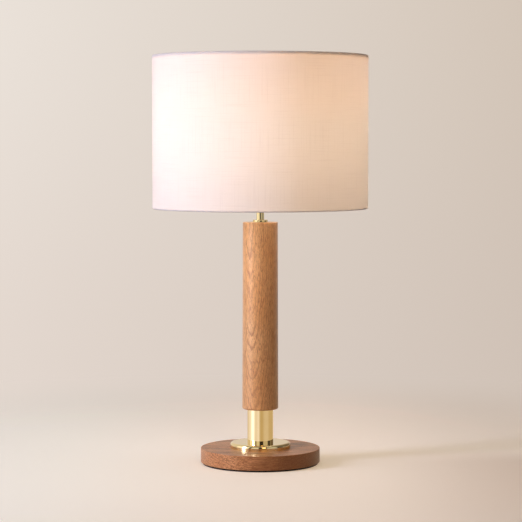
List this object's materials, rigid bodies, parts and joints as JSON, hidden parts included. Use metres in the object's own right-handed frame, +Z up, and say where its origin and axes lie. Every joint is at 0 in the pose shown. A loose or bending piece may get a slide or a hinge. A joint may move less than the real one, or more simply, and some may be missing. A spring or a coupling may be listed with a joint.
{
  "type": "table lamp",
  "caption": "Column table lamp: wooden disc base and column, polished brass flange and tube, fabric drum shade carried on a harp over a turn-knob socket and bulb.",
  "frame": {"origin": "centre of the felt pad's underside, where the lamp stands on the table", "axes": "+Z up along the column, -Y the front, the harp in the XZ plane and the cord hole at +Y"},
  "size_m": [0.3555, 0.3556, 0.6787],
  "materials": {
    "felt": "matt felt",
    "base_wood": "satin oiled",
    "column_wood": "satin oiled",
    "ballast": "raw",
    "steel": "zinc plated",
    "brass": "polished",
    "socket_brass": "plated, polished",
    "black_plastic": "moulded, gloss",
    "grommet_plastic": "moulded, matt",
    "fibre": "pressed fibre",
    "aluminium": "drawn",
    "bulb_glass": "soft white",
    "bulb_black_glass": "fused glass",
    "shade_cloth": "plain weave linen",
    "shade_backing": "matt sheet",
    "white_wire": "white powder coat"
  },
  "bodies": {
    "stand": {"felt_pad": "felt", "base_disc": "base_wood", "base_weight": "ballast", "weight_screws": "steel", "cord_grommet": "grommet_plastic", "threaded_rod": "steel", "rod_washer": "steel", "rod_nut": "steel", "flange_plate": "brass", "brass_tube": "brass", "tube_bush": "steel", "wood_column": "column_wood", "check_ring": "brass", "neck_tube": "brass", "harp_saddle": "brass", "harp_wire": "brass", "socket_cap": "socket_brass", "cap_set_screw": "steel", "socket_shell": "socket_brass", "socket_liner": "fibre", "socket_body": "black_plastic", "terminal_screws": "steel", "screw_shell": "aluminium", "centre_contact": "brass"},
    "shade": {"shade_fabric": "shade_cloth", "shade_liner": "shade_backing", "shade_top_ring": "white_wire", "shade_bottom_ring": "white_wire", "spider_arms": "white_wire", "spider_hub": "white_wire", "harp_stud": "brass"},
    "finial": {"finial": "brass"},
    "bulb": {"bulb_glass": "bulb_glass", "bulb_cap": "aluminium", "bulb_insulator": "bulb_black_glass", "bulb_tip": "steel"},
    "switch": {"switch_shaft": "brass", "switch_knob": "black_plastic"},
    "sleeve_left": {"harp_sleeve_left": "brass"},
    "sleeve_right": {"harp_sleeve_right": "brass"}
  },
  "joints": [
    {"name": "shade_swivel", "type": "hinge", "parent": "stand", "child": "shade", "pos_m": [0, 0, 0.6575], "axis": [0, 0, 1], "continuous": true},
    {"name": "finial_turn", "type": "hinge", "parent": "shade", "child": "finial", "pos_m": [0, 0, 0.665], "axis": [0, 0, 1], "continuous": true},
    {"name": "bulb_turn", "type": "hinge", "parent": "stand", "child": "bulb", "pos_m": [0, 0, 0.47], "axis": [0, 0, 1], "continuous": true},
    {"name": "switch_turn", "type": "hinge", "parent": "stand", "child": "switch", "pos_m": [0, -0.02, 0.447], "axis": [0, -1, 0], "continuous": true},
    {"name": "sleeve_left_slide", "type": "slide", "parent": "stand", "child": "sleeve_left", "axis": [0, 0, 1], "range_m": [0, 0.014]},
    {"name": "sleeve_right_slide", "type": "slide", "parent": "stand", "child": "sleeve_right", "axis": [0, 0, 1], "range_m": [0, 0.014]}
  ]
}
